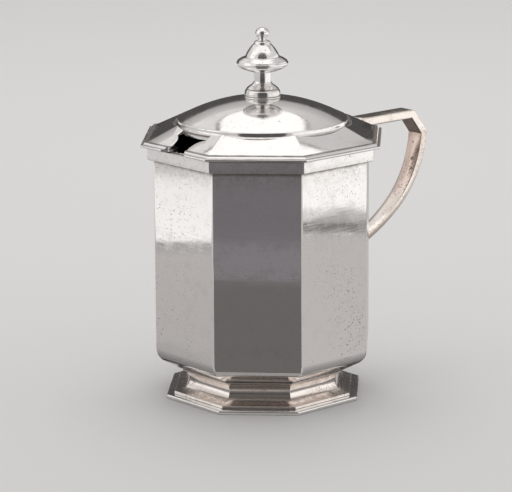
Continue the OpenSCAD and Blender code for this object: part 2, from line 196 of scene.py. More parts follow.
def cut_away(bm, cutters):
    """The mesh of bm with each cutter taken away."""
    work = new_object("work", to_mesh(bm, "work"))
    tools = []
    for i, cutter in enumerate(cutters):
        tool = new_object(f"cutter_{i}", to_mesh(cutter, f"cutter_{i}"))
        mod = work.modifiers.new(f"cut_{i}", "BOOLEAN")
        mod.operation = "DIFFERENCE"
        mod.solver = "EXACT"
        mod.object = tool
        tools.append(tool)
    bpy.context.view_layer.update()
    done = work.evaluated_get(bpy.context.evaluated_depsgraph_get())
    result = bmesh.new()
    result.from_mesh(done.data)
    for obj in tools + [work]:
        bpy.data.objects.remove(obj)
    return result


def piece(name, bm, body, nodes, material, bevel=0.0, segments=3, sharp=30.0):
    """A finished piece with sharp or softly rounded corners, on its body."""
    mesh = to_mesh(bm, name)
    for poly in mesh.polygons:
        poly.use_smooth = True
    obj = new_object(name, mesh)
    mesh.materials.append(material)
    if bevel:
        mod = obj.modifiers.new("soft_corners", "BEVEL")
        mod.width = bevel * MM
        mod.segments = segments
        mod.limit_method = "ANGLE"
        mod.angle_limit = math.radians(sharp)
        mod.harden_normals = True
        mod.miter_outer = "MITER_ARC"
    else:
        mesh.set_sharp_from_angle(angle=math.radians(sharp))
    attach(obj, body)
    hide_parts(*nodes)
    return obj


# Material helpers

PIT_CORE = 0.55


class Nodes:
    """Short calls to build a node tree."""

    def __init__(self, tree):
        self.tree = tree

    def add(self, kind, inputs=None, **settings):
        made = self.tree.nodes.new(kind)
        for key, value in settings.items():
            setattr(made, key, value)
        for key, value in (inputs or {}).items():
            self.put(made.inputs[key], value)
        return made

    def put(self, socket, value):
        """Links a socket to the value, or sets it to the value."""
        if isinstance(value, bpy.types.NodeSocket):
            self.tree.links.new(value, socket)
        else:
            socket.default_value = value

    def math(self, operation, a, b):
        return self.add("ShaderNodeMath", {0: a, 1: b}, operation=operation).outputs[0]

    def span(self, value, low, high, to_low=0.0, to_high=1.0):
        """A smooth change between two values while the input goes from low to high."""
        made = self.add("ShaderNodeMapRange", {
            "Value": value, "From Min": low, "From Max": high, "To Min": to_low, "To Max": to_high,
        }, interpolation_type="SMOOTHSTEP")
        return made.outputs[0]

    def mix(self, factor, a, b):
        """A mix of two colours."""
        return self.add("ShaderNodeMix", {0: factor, 6: a, 7: b}, data_type="RGBA").outputs[2]

    def noise(self, vector, scale, detail=4.0, rough=0.6):
        made = self.add("ShaderNodeTexNoise", {
            "Vector": vector, "Scale": scale, "Detail": detail, "Roughness": rough,
        })
        return made.outputs["Fac"]

    def stretch(self, vector, scale):
        return self.add("ShaderNodeMapping", {"Vector": vector, "Scale": scale}).outputs[0]

    def pits(self, vector, scale, size, share):
        """Round spots, one in some of the cells of a Voronoi pattern."""
        cells = self.add("ShaderNodeTexVoronoi", {
            "Vector": vector, "Scale": scale, "Randomness": 1.0,
        })
        spot = self.span(cells.outputs["Distance"], size * PIT_CORE, size, 1.0, 0.0)
        tone = self.add("ShaderNodeSeparateColor", {"Color": cells.outputs["Color"]})
        chosen = self.math("LESS_THAN", tone.outputs[0], share)
        return self.math("MULTIPLY", spot, chosen)

    def bump(self, height, strength, depth, normal=None, invert=False):
        """A bumpy normal with a depth in mm, on top of another one if that is given."""
        made = self.add("ShaderNodeBump", {
            "Strength": strength, "Distance": depth * MM, "Height": height,
        }, invert=invert)
        if normal is not None:
            self.put(made.inputs["Normal"], normal)
        return made.outputs[0]


def blank_material(name):
    """A material with an empty node tree, and the calls to fill it."""
    material = bpy.data.materials.new(name)
    material.use_nodes = True
    material.node_tree.nodes.clear()
    return material, Nodes(material.node_tree)


# Silver: colours, scales of the noises per metre, specks as (scale, size), depths in mm

CLEAN = (0.90, 0.885, 0.875)
STAIN = (0.50, 0.455, 0.42)
DULL = (0.80, 0.775, 0.755)
# Colour of the soiled specks and joints, and of the painted shade in joints, grooves and under
# overhangs
GRIME_AND_SHADE = (0.17, 0.14, 0.125, 1.0)
CLOUD_SCALE = 38.0
MOTTLE_SCALE = 260.0
GRAIN_SCALE = 800.0
PATCH_SCALE = 55.0
SPREAD_SCALE = 90.0
DENT_SCALE = 70.0
LINE_SCALES = (90.0, 90.0, 2600.0)
WARP_SCALE = 1400.0
WARP = (0.0008, 0.0008, 0.0008)
FINE_PITS = (1700.0, 0.3)
MEDIUM_PITS = (800.0, 0.2)
COARSE_PITS = (430.0, 0.1)
MEDIUM_SHARE = 0.6
COARSE_SHARE = 0.5
PIT_DIRT = 0.8
SCAR_DIRT = 0.75
RUBBED_FROM = 16.0
RUBBED_TO = BODY_A - 0.2
RUBBED_SPECKS = 0.15
STAIN_ROUGH = 0.2
DIRT_ROUGH = 0.4
DENT_DEPTH = 0.06
LINE_DEPTH = 0.004
PIT_DEPTH = 0.03


def level_band(n, height, level, above, below, strength):
    """A soft band round a height, which fades over the reach above and below it, in mm."""
    upper = n.span(height, level * MM, (level + above) * MM, strength, 0.0)
    lower = n.span(height, (level - below) * MM, level * MM, 0.0, 1.0)
    return n.math("MULTIPLY", upper, lower)


def silver(name, clean, stain, rough, stain_share, pit_share,
           grime_and_shade=(), smears=(), fade=None, scars=(), lean=0.0):
    """Worn polished silver.

    The two band lists, for darkening and for smears, hold (height, reach above, reach below,
    strength) in mm.
    The darkening bands are soiled joints and also painted shade in joints, grooves and under
    overhangs;
    the smears are paler tarnish. fade is (low, high, colour): another colour below these heights.
    scars are dark marks as (place, radius) in mm. lean puts more specks on the notch's side.
    """
    material, n = blank_material(name)
    place = n.add("ShaderNodeTexCoord").outputs["Object"]
    x, y, height = n.add("ShaderNodeSeparateXYZ", {"Vector": place}).outputs
    cloud = n.noise(place, CLOUD_SCALE, 3.0)
    mottle = n.noise(place, MOTTLE_SCALE, 6.0, 0.65)
    grain = n.span(n.noise(place, GRAIN_SCALE, 6.0, 0.75), 0.3, 0.72)
    lines = n.noise(n.stretch(place, LINE_SCALES), 1.0, 3.0)

    # Specks lie in patches, and the front side is rubbed clean of most
    frontness = n.math("MULTIPLY", n.math("ADD", x, y), -math.sqrt(0.5))
    rubbed = n.span(frontness, RUBBED_FROM * MM, RUBBED_TO * MM, 1.0, RUBBED_SPECKS)
    tilt = n.math("MULTIPLY", x, -lean)
    patches = n.span(n.math("ADD", n.noise(place, PATCH_SCALE, 4.0), tilt), 0.44, 0.58)
    spread = n.span(n.math("ADD", n.noise(place, SPREAD_SCALE, 3.0), tilt), 0.47, 0.57)
    warp = n.add("ShaderNodeTexNoise", {"Vector": place, "Scale": WARP_SCALE, "Detail": 2.0})
    bent = n.add("ShaderNodeVectorMath", {
        0: warp.outputs["Color"], 1: WARP, 2: place,
    }, operation="MULTIPLY_ADD").outputs[0]
    fine = n.math("MULTIPLY", n.pits(bent, *FINE_PITS, pit_share), patches)
    medium = n.math("MULTIPLY", n.pits(bent, *MEDIUM_PITS, pit_share * MEDIUM_SHARE), spread)
    coarse = n.math("MULTIPLY", n.pits(bent, *COARSE_PITS, pit_share * COARSE_SHARE), patches)
    pits = n.math("MAXIMUM", n.math("MAXIMUM", fine, medium), coarse)

    clouded = n.span(cloud, 0.35, 0.65, 0.3, 1.0)
    stained = n.math("MULTIPLY", n.span(mottle, 0.45, 0.75), clouded)
    stained = n.math("MULTIPLY", stained, stain_share)
    for level, above, below, strength in smears:
        band = level_band(n, height, level, above, below, strength)
        stained = n.math("MAXIMUM", stained, n.math("MULTIPLY", band, grain))

    dirt_and_shade = n.math("MULTIPLY", pits, n.math("MULTIPLY", rubbed, PIT_DIRT))
    for middle, radius in scars:
        away = n.add("ShaderNodeVectorMath", {
            0: bent, 1: Vector(middle) * MM,
        }, operation="DISTANCE").outputs["Value"]
        scar = n.span(away, radius * 0.5 * MM, radius * MM, SCAR_DIRT, 0.0)
        dirt_and_shade = n.math("MAXIMUM", dirt_and_shade, scar)
    # Dark bands at set heights: soiled joints, and also painted shade in joints, grooves and under
    # overhangs
    for level, above, below, strength in grime_and_shade:
        band = level_band(n, height, level, above, below, strength)
        uneven = n.span(mottle, 0.25, 0.6, 0.5, 1.0)
        dirt_and_shade = n.math("MAXIMUM", dirt_and_shade, n.math("MULTIPLY", band, uneven))

    colour = (*clean, 1.0)
    if fade:
        low, high, lower_colour = fade
        colour = n.mix(n.span(height, low * MM, high * MM), (*lower_colour, 1.0), colour)
    colour = n.mix(stained, colour, (*stain, 1.0))
    colour = n.mix(dirt_and_shade, colour, GRIME_AND_SHADE)

    gloss = n.math("ADD", rough, n.span(mottle, 0.4, 0.8, 0.0, 0.07))
    gloss = n.math("ADD", gloss, n.span(lines, 0.35, 0.65, -0.02, 0.03))
    gloss = n.math("ADD", gloss, n.math("MULTIPLY", stained, STAIN_ROUGH))
    gloss = n.math("ADD", gloss, n.math("MULTIPLY", dirt_and_shade, DIRT_ROUGH))

    dents = n.bump(n.noise(place, DENT_SCALE, 2.0), 0.5, DENT_DEPTH)
    streaks = n.bump(lines, 0.25, LINE_DEPTH, dents)
    holes = n.bump(dirt_and_shade, 0.3, PIT_DEPTH, streaks, invert=True)
    shader = n.add("ShaderNodeBsdfPrincipled", {
        "Base Color": colour, "Metallic": 1.0, "Roughness": gloss, "Normal": holes,
    })
    n.add("ShaderNodeOutputMaterial", {"Surface": shader.outputs[0]})
    return material


# Glass

GLASS_BLUE = (0.05, 0.07, 0.30)
GLASS_FILM = (0.10, 0.14, 0.42, 1.0)
FILM_SCALE = 140.0
WAVE_SCALE = 60.0
WAVE_DEPTH = 0.15
SEEDS = (420.0, 0.12)
SEED_SHARE = 0.25


def glass(name, colour):
    """Old pressed glass, a little uneven, with a few seeds and a thin film of dust."""
    material, n = blank_material(name)
    place = n.add("ShaderNodeTexCoord").outputs["Object"]
    film = n.noise(place, FILM_SCALE, 5.0)
    tint = n.mix(n.span(film, 0.35, 0.7, 0.0, 0.35), (*colour, 1.0), GLASS_FILM)
    seeds = n.pits(place, *SEEDS, SEED_SHARE)
    uneven = n.bump(n.math("ADD", n.noise(place, WAVE_SCALE, 2.0), seeds), 0.3, WAVE_DEPTH)
    shader = n.add("ShaderNodeBsdfPrincipled", {
        "Base Color": tint, "Roughness": n.span(film, 0.3, 0.8, 0.03, 0.16), "IOR": 1.5,
        "Transmission Weight": 0.85, "Normal": uneven,
    })
    n.add("ShaderNodeOutputMaterial", {"Surface": shader.outputs[0]})
    return material


# Materials of the pieces

BASE_GROOVE_RISE = 0.47
RIDGE_GROOVE_RISE = 2.22

# Dark bands under the rim band and at the foot joint: painted shadow under the band's overhang and
# at the joint, with some soiling
body_silver = silver(
    "body_silver", CLEAN, STAIN, 0.055, 0.22, 0.7,
    grime_and_shade=[(BAND_Z - 0.1, 0.3, 1.2, 0.95), (FOOT_TOP_Z, 0.7, 0.4, 0.8)],
    smears=[(BAND_Z, 0.3, 7.0, 0.6), (FOOT_TOP_Z, 4.0, 0.5, 0.6)],
    lean=3.0,
)
# Dark bands at the top and the lower edge of the rim band: painted shadow under the lid's overhang
# and along the band's lower edge
band_silver = silver(
    "band_silver", CLEAN, STAIN, 0.15, 0.45, 0.5,
    grime_and_shade=[(MOUTH_Z, 0.2, 0.4, 0.7), (BAND_Z, 0.25, 0.2, 0.6)],
    smears=[(BAND_Z, 2.0, 0.2, 0.6)],
)
# Dark bands at the joint with the body and at the rim: soiling and painted shade under the body's
# overhang
foot_silver = silver(
    "foot_silver", (0.93, 0.87, 0.83), (0.50, 0.42, 0.37), 0.14, 0.65, 0.9,
    grime_and_shade=[(FOOT_TOP_Z, 0.2, 0.5, 0.8), (FOOT_RIM_Z, 0.25, 0.2, 0.8)],
    smears=[(1.9, 1.6, 0.3, 0.85)],
)
# Darker along the bottom edge, where the foot meets the floor
foot_edge_silver = silver(
    "foot_edge_silver", CLEAN, STAIN, 0.13, 0.25, 0.4,
    grime_and_shade=[(0.0, 0.2, 0.2, 0.8)],
)
# The fade paints the lower part of the strap darker: a painted darker reflection
strap_silver = silver(
    "strap_silver", (0.93, 0.86, 0.80), (0.60, 0.47, 0.39), 0.16, 0.5, 0.5,
    smears=[(61.0, 1.5, 17.0, 0.9)],
    fade=(33.0, 46.0, (0.56, 0.48, 0.43)),
)
# The inner face's pinkish colour is partly tarnish; its paler lower part, from the fade, is a
# painted bright reflection
strap_inside_silver = silver(
    "strap_inside_silver", (0.79, 0.63, 0.56), (0.42, 0.31, 0.26), 0.2, 0.75, 0.9,
    fade=(38.0, 52.0, (0.97, 0.91, 0.86)),
    scars=[((53.3, -0.4, 54.4), 0.85), ((52.2, -1.2, 51.9), 0.75), ((54.5, 0.6, 58.6), 0.45)],
)
# Near-black silver for the inner face of the slanted corner: painted shade
strap_corner_painted_shade = silver(
    "strap_corner_painted_shade", (0.16, 0.12, 0.10), (0.09, 0.07, 0.06), 0.3, 0.7, 0.4,
)
# Dark bands on the lid: painted shadow lines where the flange meets the moulding, in the
# moulding's groove and along its lower edge
lid_silver = silver(
    "lid_silver", CLEAN, STAIN, 0.09, 0.2, 0.18,
    grime_and_shade=[
        (FLANGE_EDGE_Z + 0.02, 0.2, 0.14, 1.0), (LID_GROOVE_Z, 0.12, 0.1, 0.7),
        (LID_Z, 0.12, 0.1, 0.7),
    ],
)
# Dark band at the ring's foot: soiling in the joint and painted shade
ring_silver = silver(
    "ring_silver", CLEAN, STAIN, 0.12, 0.45, 0.4,
    grime_and_shade=[(RING_FOOT_Z + 0.05, 0.2, 0.4, 0.9)],
    smears=[(RING_FOOT_Z, 0.9, 0.3, 0.8)],
)
# Dark bands at the seat and in the base's grooves: soiling and painted shade in the grooves
finial_silver = silver(
    "finial_silver", CLEAN, STAIN, 0.1, 0.3, 0.3,
    grime_and_shade=[
        (SEAT_Z, 0.12, 0.2, 0.9), (SEAT_Z + BASE_GROOVE_RISE, 0.12, 0.12, 0.7),
        (SEAT_Z + RIDGE_GROOVE_RISE, 0.16, 0.16, 0.7),
    ],
    smears=[(SEAT_Z + 1.0, 2.5, 1.2, 0.5)],
)
hinge_silver = silver("hinge_silver", DULL, STAIN, 0.22, 0.55, 0.5)
inside_silver = silver("inside_silver", DULL, STAIN, 0.25, 0.6, 0.5)
liner_glass = glass("liner_glass", GLASS_BLUE)


# Pot

INNER_A = 26.1
BODY_FLOOR_A = 20.16
EDGE_C = (23.0, 13.52)
EDGE_R = 4.0
EDGE_TURN = 60.0
body_outline = (
    [(0, FOOT_TOP_Z), (FOOT_TOP_A, FOOT_TOP_Z)]
    + arc(EDGE_C, EDGE_R, -EDGE_TURN, 0)
    + [(BODY_A, MOUTH_Z), (INNER_A, MOUTH_Z)]
    + arc(EDGE_C, EDGE_R - SHEET, 0, -EDGE_TURN)
    + [(BODY_FLOOR_A, FLOOR_Z), (0, FLOOR_Z)]
)
piece(
    "body", turned(body_outline, SIDES), "pot", ["body_shell"], body_silver, bevel=0.42,
)

band_outline = [(BODY_A, BAND_Z), (BAND_A, BAND_Z), (BAND_A, MOUTH_Z), (BODY_A, MOUTH_Z)]
piece("band", turned(band_outline, SIDES), "pot", ["rim_band"], band_silver, bevel=0.22)

NECK_A = 18.7
NECK_Z = 4.48
NECK_IN_A = 17.6
COVE_A = 22.15
COVE_Z = 1.75
COVE_IN_Z = 0.65
COVE_IN_END = 65.3
LIP_A = 22.6
LIP_C = (22.35, 1.5)
LIP_R = 0.25
LIP_STEPS = 5
foot_outline = (
    [(LIP_A, FOOT_RIM_Z), (LIP_A, 1.45)] + arc(LIP_C, LIP_R, 0, 90, LIP_STEPS) + [(22.25, COVE_Z)]
    + hollow((COVE_A, NECK_Z), COVE_A - NECK_A, NECK_Z - COVE_Z, 90, 0)
    + hollow((FOOT_TOP_A, NECK_Z), 1.7, -2.42, 0, 90)[1:]
    + [(FOOT_TOP_A, FOOT_TOP_Z), (NECK_IN_A, FOOT_TOP_Z)]
    + hollow((COVE_A, NECK_Z), COVE_A - NECK_IN_A, NECK_Z - COVE_IN_Z, 0, COVE_IN_END)
)
piece(
    "foot_casting", turned(foot_outline, SIDES), "pot", ["foot"], foot_silver,
    bevel=0.12, segments=2,
)

RIM_A = 24.5
RIM_IN_A = 20.7
RIM_C = (24.1, 0.6)
RIM_R = 0.4
rim_outline = (
    [(RIM_IN_A, 0), (RIM_A, 0)]
    + arc(RIM_C, RIM_R, 0, 90, LIP_STEPS)
    + [(RIM_IN_A, FOOT_RIM_Z)]
)
piece(
    "foot_edge", turned(rim_outline, SIDES), "pot", ["foot_rim"], foot_edge_silver,
    bevel=0.15,
)


# Handle: cross-sections with rounded corners along the strap

TAIL_W = 4.4
STRAP_T = 2.3
TAIL_T = 1.4
HANDLE_REACH = 57.15
ARM_Z = 67.6
ARM_BEVEL = 0.4
ARM_MIDDLES = (40.0, 46.0)
TONGUE_TOP_Z = 64.9
TONGUE_LOW_Z = 63.3
TONGUE_STATIONS = 3
KNEE_X = 35.95
CORNER_CUT = 4.8
CORNER_DROP = 6.2
BEND_R = 2.0
BEND_IN_LEN = 0.6
BOW_R = 28.9
TAIL_R = 52.0
BOW_START = 4.3
BOW_TURN = 51.5
BEND_STEPS = 8
BOW_STEPS = 40
TAIL_STEPS = 24
SECTION_STEPS = 4
CROWN_STEPS = 7
CROWN = 0.3
CROWN_RISE = 5.0
SOFT = 0.42
SOFT_IN = 0.3
SOFT_TONGUE = 0.2
SOFT_LIMIT = 0.45
INNER_FACES = (2 * SECTION_STEPS + 3, 3 * SECTION_STEPS + 5 + CROWN_STEPS)
INSIDE_SLOT = 1
# Slot of the near-black inner face above the bow, which is painted shade
CORNER_SHADE_SLOT = 2
# Steps back from the lower corner along the slant, on the outer and the inner face
CORNER_BACKS = ((3.0, 2.2), (0.8, 0.6), (0.25, 0.08))
# Degrees between the lower corner and the first station of the bow
BOW_LAP = 0.5
BOW_IN_LAP = 0.2


def polar(centre, r, degrees):
    t = math.radians(degrees)
    return Vector((centre[0] + r * math.cos(t), centre[1] + r * math.sin(t)))


corner_top = Vector((HANDLE_REACH - CORNER_CUT, ARM_Z))
corner_low = Vector((HANDLE_REACH, ARM_Z - CORNER_DROP))
slant = (corner_low - corner_top).normalized()
arm_normal = Vector((0, -1))
slant_normal = Vector((slant.y, -slant.x))
bow_normal = -polar((0, 0), 1, -BOW_START)
bow_c = corner_low + BOW_R * bow_normal
tail_c = bow_c - (TAIL_R - BOW_R) * polar((0, 0), 1, -BOW_TURN)
tail_low_z = tail_c.y - TAIL_R


def strap_corner(outer, normal_a, normal_b):
    """Inner corner of the strap where two stretches with these inward normals meet."""
    return outer + STRAP_T * (normal_a + normal_b) / (1 + normal_a.dot(normal_b))


inner_top = strap_corner(corner_top, arm_normal, slant_normal)
inner_low = strap_corner(corner_low, slant_normal, bow_normal)


def strap_w(z):
    """Width of the strap at a height."""
    share = min(1.0, max(0.0, (z - tail_low_z) / (corner_low.y - tail_low_z)))
    return TAIL_W + (STRAP_W - TAIL_W) * share


def section(outer, inner, soft_out, soft_in, crown):
    """A ring of points round the strap, from its outer and inner middle points.

    crown is the swell of its inner face.
    """
    thick = (inner - outer).length
    inward = (inner - outer) / thick
    points = []
    for corner in range(4):
        side = 1 if corner in (0, 3) else -1
        at_inside = corner > 1
        r = min(soft_in if at_inside else soft_out, thick * SOFT_LIMIT)
        for step in range(SECTION_STEPS + 1):
            t = math.radians(90 * step / SECTION_STEPS)
            t = math.pi / 2 - t if corner % 2 else t
            share = r * (1 - math.sin(t)) / thick
            place = outer.lerp(inner, 1 - share if at_inside else share)
            half = strap_w(place.y) / 2 - r * (1 - math.cos(t))
            points.append((place.x, side * half, place.y))
        if corner == 2:
            half = strap_w(inner.y) / 2 - r
            for step in range(1, CROWN_STEPS + 1):
                across = 2 * step / (CROWN_STEPS + 1) - 1
                place = inner + inward * crown * (1 - across ** 2)
                points.append((place.x, half * across, place.y))
    return points


def strap_path():
    """Pairs of outer and inner points from the rim band to the body."""
    pairs = []

    def straight(x, top, low):
        pairs.append((Vector((x, top)), Vector((x, low))))

    arm_low = ARM_Z - STRAP_T
    straight(BAND_A, TONGUE_TOP_Z, TONGUE_LOW_Z)
    straight(ARM_X - 0.05, TONGUE_TOP_Z, TONGUE_LOW_Z)
    straight(ARM_X, ARM_Z - ARM_BEVEL, TONGUE_LOW_Z)
    rise = (arm_low - TONGUE_LOW_Z) / (KNEE_X - ARM_X)
    straight(ARM_X + ARM_BEVEL, ARM_Z, TONGUE_LOW_Z + ARM_BEVEL * rise)
    straight(KNEE_X, ARM_Z, arm_low)
    bend = math.acos(-slant_normal.y)
    bend_c = (corner_top.x - BEND_R * math.tan(bend / 2), ARM_Z - BEND_R)
    for x in (KNEE_X + 0.3, *ARM_MIDDLES, bend_c[0] - 0.8):
        straight(x, ARM_Z, arm_low)
    for i in range(BEND_STEPS + 1):
        s = i / BEND_STEPS
        along = (s - 0.5) * BEND_IN_LEN
        inner = inner_top + (slant * along if along > 0 else Vector((along, 0)))
        pairs.append((polar(bend_c, BEND_R, 90 - math.degrees(bend) * s), inner))
    for back, in_back in CORNER_BACKS:
        pairs.append((corner_low - slant * back, inner_low - slant * in_back))
    start = math.degrees(math.atan2(inner_low.y - bow_c.y, inner_low.x - bow_c.x))
    mid_t = (STRAP_T + TAIL_T) / 2
    for i in range(BOW_STEPS + 1):
        s = i / BOW_STEPS
        out_turn = -BOW_START - BOW_LAP + (BOW_START + BOW_LAP - BOW_TURN) * s
        in_turn = start - BOW_IN_LAP + (BOW_IN_LAP - start - BOW_TURN) * s
        inner = polar(bow_c, BOW_R - STRAP_T + (STRAP_T - mid_t) * s, in_turn)
        pairs.append((polar(bow_c, BOW_R, out_turn), inner))
    out_end = -math.degrees(math.acos((BODY_A - tail_c.x) / TAIL_R))
    in_end = -math.degrees(math.acos((BODY_A - tail_c.x) / (TAIL_R - TAIL_T)))
    for i in range(1, TAIL_STEPS + 1):
        s = i / TAIL_STEPS
        in_r = TAIL_R - mid_t + (mid_t - TAIL_T) * s
        outer = polar(tail_c, TAIL_R, -BOW_TURN + (out_end + BOW_TURN) * s)
        inner = polar(tail_c, in_r, -BOW_TURN + (in_end + BOW_TURN) * s)
        pairs.append((outer, inner))
    return pairs


def strap_mesh():
    """The strap. Its inner face has a material of its own; above the bow that face is near-black,
    painted shade.
    """
    bm = bmesh.new()
    rings = []
    path = strap_path()
    for k, (outer, inner) in enumerate(path):
        soft = SOFT_TONGUE if k < TONGUE_STATIONS else SOFT
        swell = CROWN * min(1.0, max(0.0, (inner_low.y - inner.y) / CROWN_RISE))
        ring = section(outer, inner, soft, min(soft, SOFT_IN), swell)
        rings.append([bm.verts.new((x * MM, y * MM, z * MM)) for x, y, z in ring])
    count = len(rings[0])
    for k, (low, high) in enumerate(zip(rings, rings[1:])):
        above_bow = path[k + 1][1].y > inner_low.y - 0.01
        for i in range(count):
            j = (i + 1) % count
            face = bm.faces.new((low[i], low[j], high[j], high[i]))
            if INNER_FACES[0] <= i <= INNER_FACES[1]:
                face.material_index = CORNER_SHADE_SLOT if above_bow else INSIDE_SLOT
    bm.faces.new(rings[0])
    bm.faces.new(list(reversed(rings[-1])))
    return bm


strap = piece("strap", strap_mesh(), "pot", ["handle"], strap_silver, sharp=32)
strap.data.materials.append(strap_inside_silver)
strap.data.materials.append(strap_corner_painted_shade)


# Hinge

LEAF_X = 30.6
LEAF_Z = 64.9
LEAF_TOP_Z = 65.45
SIDE_KNUCKLE = (1.05, 2.5)
MID_KNUCKLE = 0.95
KNUCKLE_STEPS = 20
knuckle_outline = (
    [(LEAF_X, LEAF_Z), (ARM_X, LEAF_Z), (ARM_X, HINGE[1])]
    + arc(HINGE, KNUCKLE_R, 0, 180, KNUCKLE_STEPS)
    + [(HINGE[0] - KNUCKLE_R, LEAF_TOP_Z), (LEAF_X, LEAF_TOP_Z)]
)
leaf_outline = [(LEAF_X, LEAF_Z), (ARM_X, LEAF_Z), (ARM_X, LEAF_TOP_Z), (LEAF_X, LEAF_TOP_Z)]
leaf_bm = plate(knuckle_outline, SIDE_KNUCKLE[0], SIDE_KNUCKLE[1])
plate(knuckle_outline, -SIDE_KNUCKLE[1], -SIDE_KNUCKLE[0], leaf_bm)
plate(leaf_outline, -SIDE_KNUCKLE[0], SIDE_KNUCKLE[0], leaf_bm)
piece(
    "hinge_leaf_pot", leaf_bm, "pot", ["pot_hinge_leaf"], hinge_silver,
    bevel=0.1, segments=2,
)


# Glass liner

LINER_R = 25.6
LINER_T = 2.0
LINER_TOP_Z = 63.4
LINER_EDGE_R = 8.25
LINER_FLOOR_T = 3.0
liner_in_r = LINER_R - LINER_T
liner_in_edge = LINER_EDGE_R - LINER_T / 2
liner_in_c = (liner_in_r - liner_in_edge, FLOOR_Z + LINER_FLOOR_T + liner_in_edge)
liner_outline = (
    [(0, FLOOR_Z)]
    + arc((LINER_R - LINER_EDGE_R, FLOOR_Z + LINER_EDGE_R), LINER_EDGE_R, -90, 0)
    + arc((LINER_R - LINER_T / 2, LINER_TOP_Z - LINER_T / 2), LINER_T / 2, 0, 180)
    + arc(liner_in_c, liner_in_edge, 0, -90)
    + [(0, FLOOR_Z + LINER_FLOOR_T)]
)
piece("liner", turned(liner_outline), "pot", ["glass_liner"], liner_glass)


# Lid

NOTCH_HALF_W = 5.3
NOTCH_OUT_X = -32.0
NOTCH_END_X = -math.sqrt(RING_R ** 2 - NOTCH_HALF_W ** 2)
NOTCH_REACH = (60.0, 76.0)
NOTCH_SOFT = 0.28
CHEEK = (-27.3, 6.65)
CHEEK_R = 3.6
CHEEK_STEPS = 28
# A face looks up or stands upright when its normal's height is past or within these
FACES_UP = 0.5
STANDS = 0.02


def notch():
    """The spoon notch as a block that is cut out of the lid."""
    reach = math.degrees(math.asin((CHEEK[1] - NOTCH_HALF_W) / CHEEK_R))
    cheek = arc(CHEEK, CHEEK_R, -180 + reach, -reach, CHEEK_STEPS)
    side = [(NOTCH_OUT_X, NOTCH_HALF_W)] + cheek + [(NOTCH_END_X, NOTCH_HALF_W)]
    return upright(side + [(x, -y) for x, y in reversed(side)], *NOTCH_REACH)


def soften_notch(bm, width):
    """Rounds the upper rim of the spoon notch."""
    bm.normal_update()
    rim = []
    for edge in bm.edges:
        if len(edge.link_faces) != 2:
            continue
        low, high = sorted(face.normal.z for face in edge.link_faces)
        middle = (edge.verts[0].co + edge.verts[1].co) / (2 * MM)
        in_notch = middle.x < -20.0 and abs(middle.y) < NOTCH_HALF_W + 0.05
        if in_notch and high > FACES_UP and abs(low) < STANDS:
            rim.append(edge)
    bmesh.ops.bevel(bm, geom=rim, offset=width * MM, segments=4, profile=0.5, affect="EDGES")
    return bm


WIRE_A = 29.9
WIRE_Z = 66.75
WIRE_R = 0.35
WIRE_IN_Z = 67.717
CREST_C = (28.93, 67.5)
CREST_R = 0.25
edge_outline = (
    [(LID_EDGE_IN_A, LID_Z), (WIRE_A, LID_Z)]
    + arc((WIRE_A, WIRE_Z), WIRE_R, -90, 90, 12)
    + [(29.78, LID_GROOVE_Z), (29.7, 67.02), (29.6, 67.05), (29.52, 67.14), (29.43, 67.3)]
    + arc(CREST_C, CREST_R, 10, 90, 6)
    + [(28.72, 67.74), (LID_EDGE_IN_A, WIRE_IN_Z)]
)
edge_bm = cut_away(turned(edge_outline, SIDES), [notch()])
piece("lid_moulding", edge_bm, "lid", ["lid_edge"], lid_silver, sharp=28)

FLANGE_TURN_A = 27.2
BORE_LOW_Z = 60.0
BORE_TOP_Z = 80.0
flange_in_a = RING_R * math.cos(HALF_TURN) - 1.0
flange_outline = [
    (LID_EDGE_IN_A, PLATE_TOP_Z), (LID_EDGE_IN_A, FLANGE_EDGE_Z),
    (flange_in_a, flange_z(flange_in_a)), (flange_in_a, flange_z(flange_in_a) - SHEET),
    (FLANGE_TURN_A, flange_z(FLANGE_TURN_A) - SHEET),
]
bore = turned([(0, BORE_LOW_Z), (RING_R, BORE_LOW_Z), (RING_R, BORE_TOP_Z), (0, BORE_TOP_Z)])
plate_bm = soften_notch(cut_away(turned(flange_outline, SIDES), [bore, notch()]), NOTCH_SOFT)
piece("lid_plate", plate_bm, "lid", ["lid_flange"], lid_silver, sharp=24)

BEZEL_A = 25.7
BEZEL_IN_A = 24.8
BEZEL_LOW_Z = 64.4
bezel_outline = [
    (BEZEL_IN_A, BEZEL_LOW_Z), (BEZEL_A, BEZEL_LOW_Z), (BEZEL_A, LID_Z), (LID_EDGE_IN_A, LID_Z),
    (LID_EDGE_IN_A, PLATE_TOP_Z), (BEZEL_IN_A, PLATE_TOP_Z),
]
bezel_bm = cut_away(turned(bezel_outline, SIDES), [notch()])
piece("lid_collar", bezel_bm, "lid", ["lid_bezel"], inside_silver, sharp=20)

BEAD_R = 0.35
BEAD_RISE = 0.1
BEAD_Z = DOME_FOOT_Z + BEAD_RISE - BEAD_R
RISER_H = 0.65
COVE_TOP_Z = DOME_FOOT_Z - RISER_H
RING_LEDGE_Z = DOME_FOOT_Z - SHEET
RING_IN_R = DOME_R - SHEET - 0.25
ring_outline = (
    [(RING_IN_R, RING_FOOT_Z - SHEET), (RING_R, RING_FOOT_Z - SHEET)]
    + hollow((RING_R, COVE_TOP_Z), RING_R - DOME_R - BEAD_R, COVE_TOP_Z - RING_FOOT_Z, 90, 0, 16)
    + arc((DOME_R, BEAD_Z), BEAD_R, 0, 90, 8)
    + [(DOME_R, DOME_FOOT_Z), (DOME_R, RING_LEDGE_Z), (RING_IN_R, RING_LEDGE_Z)]
)
piece("lid_bead", turned(ring_outline), "lid", ["lid_ring"], ring_silver, sharp=28)

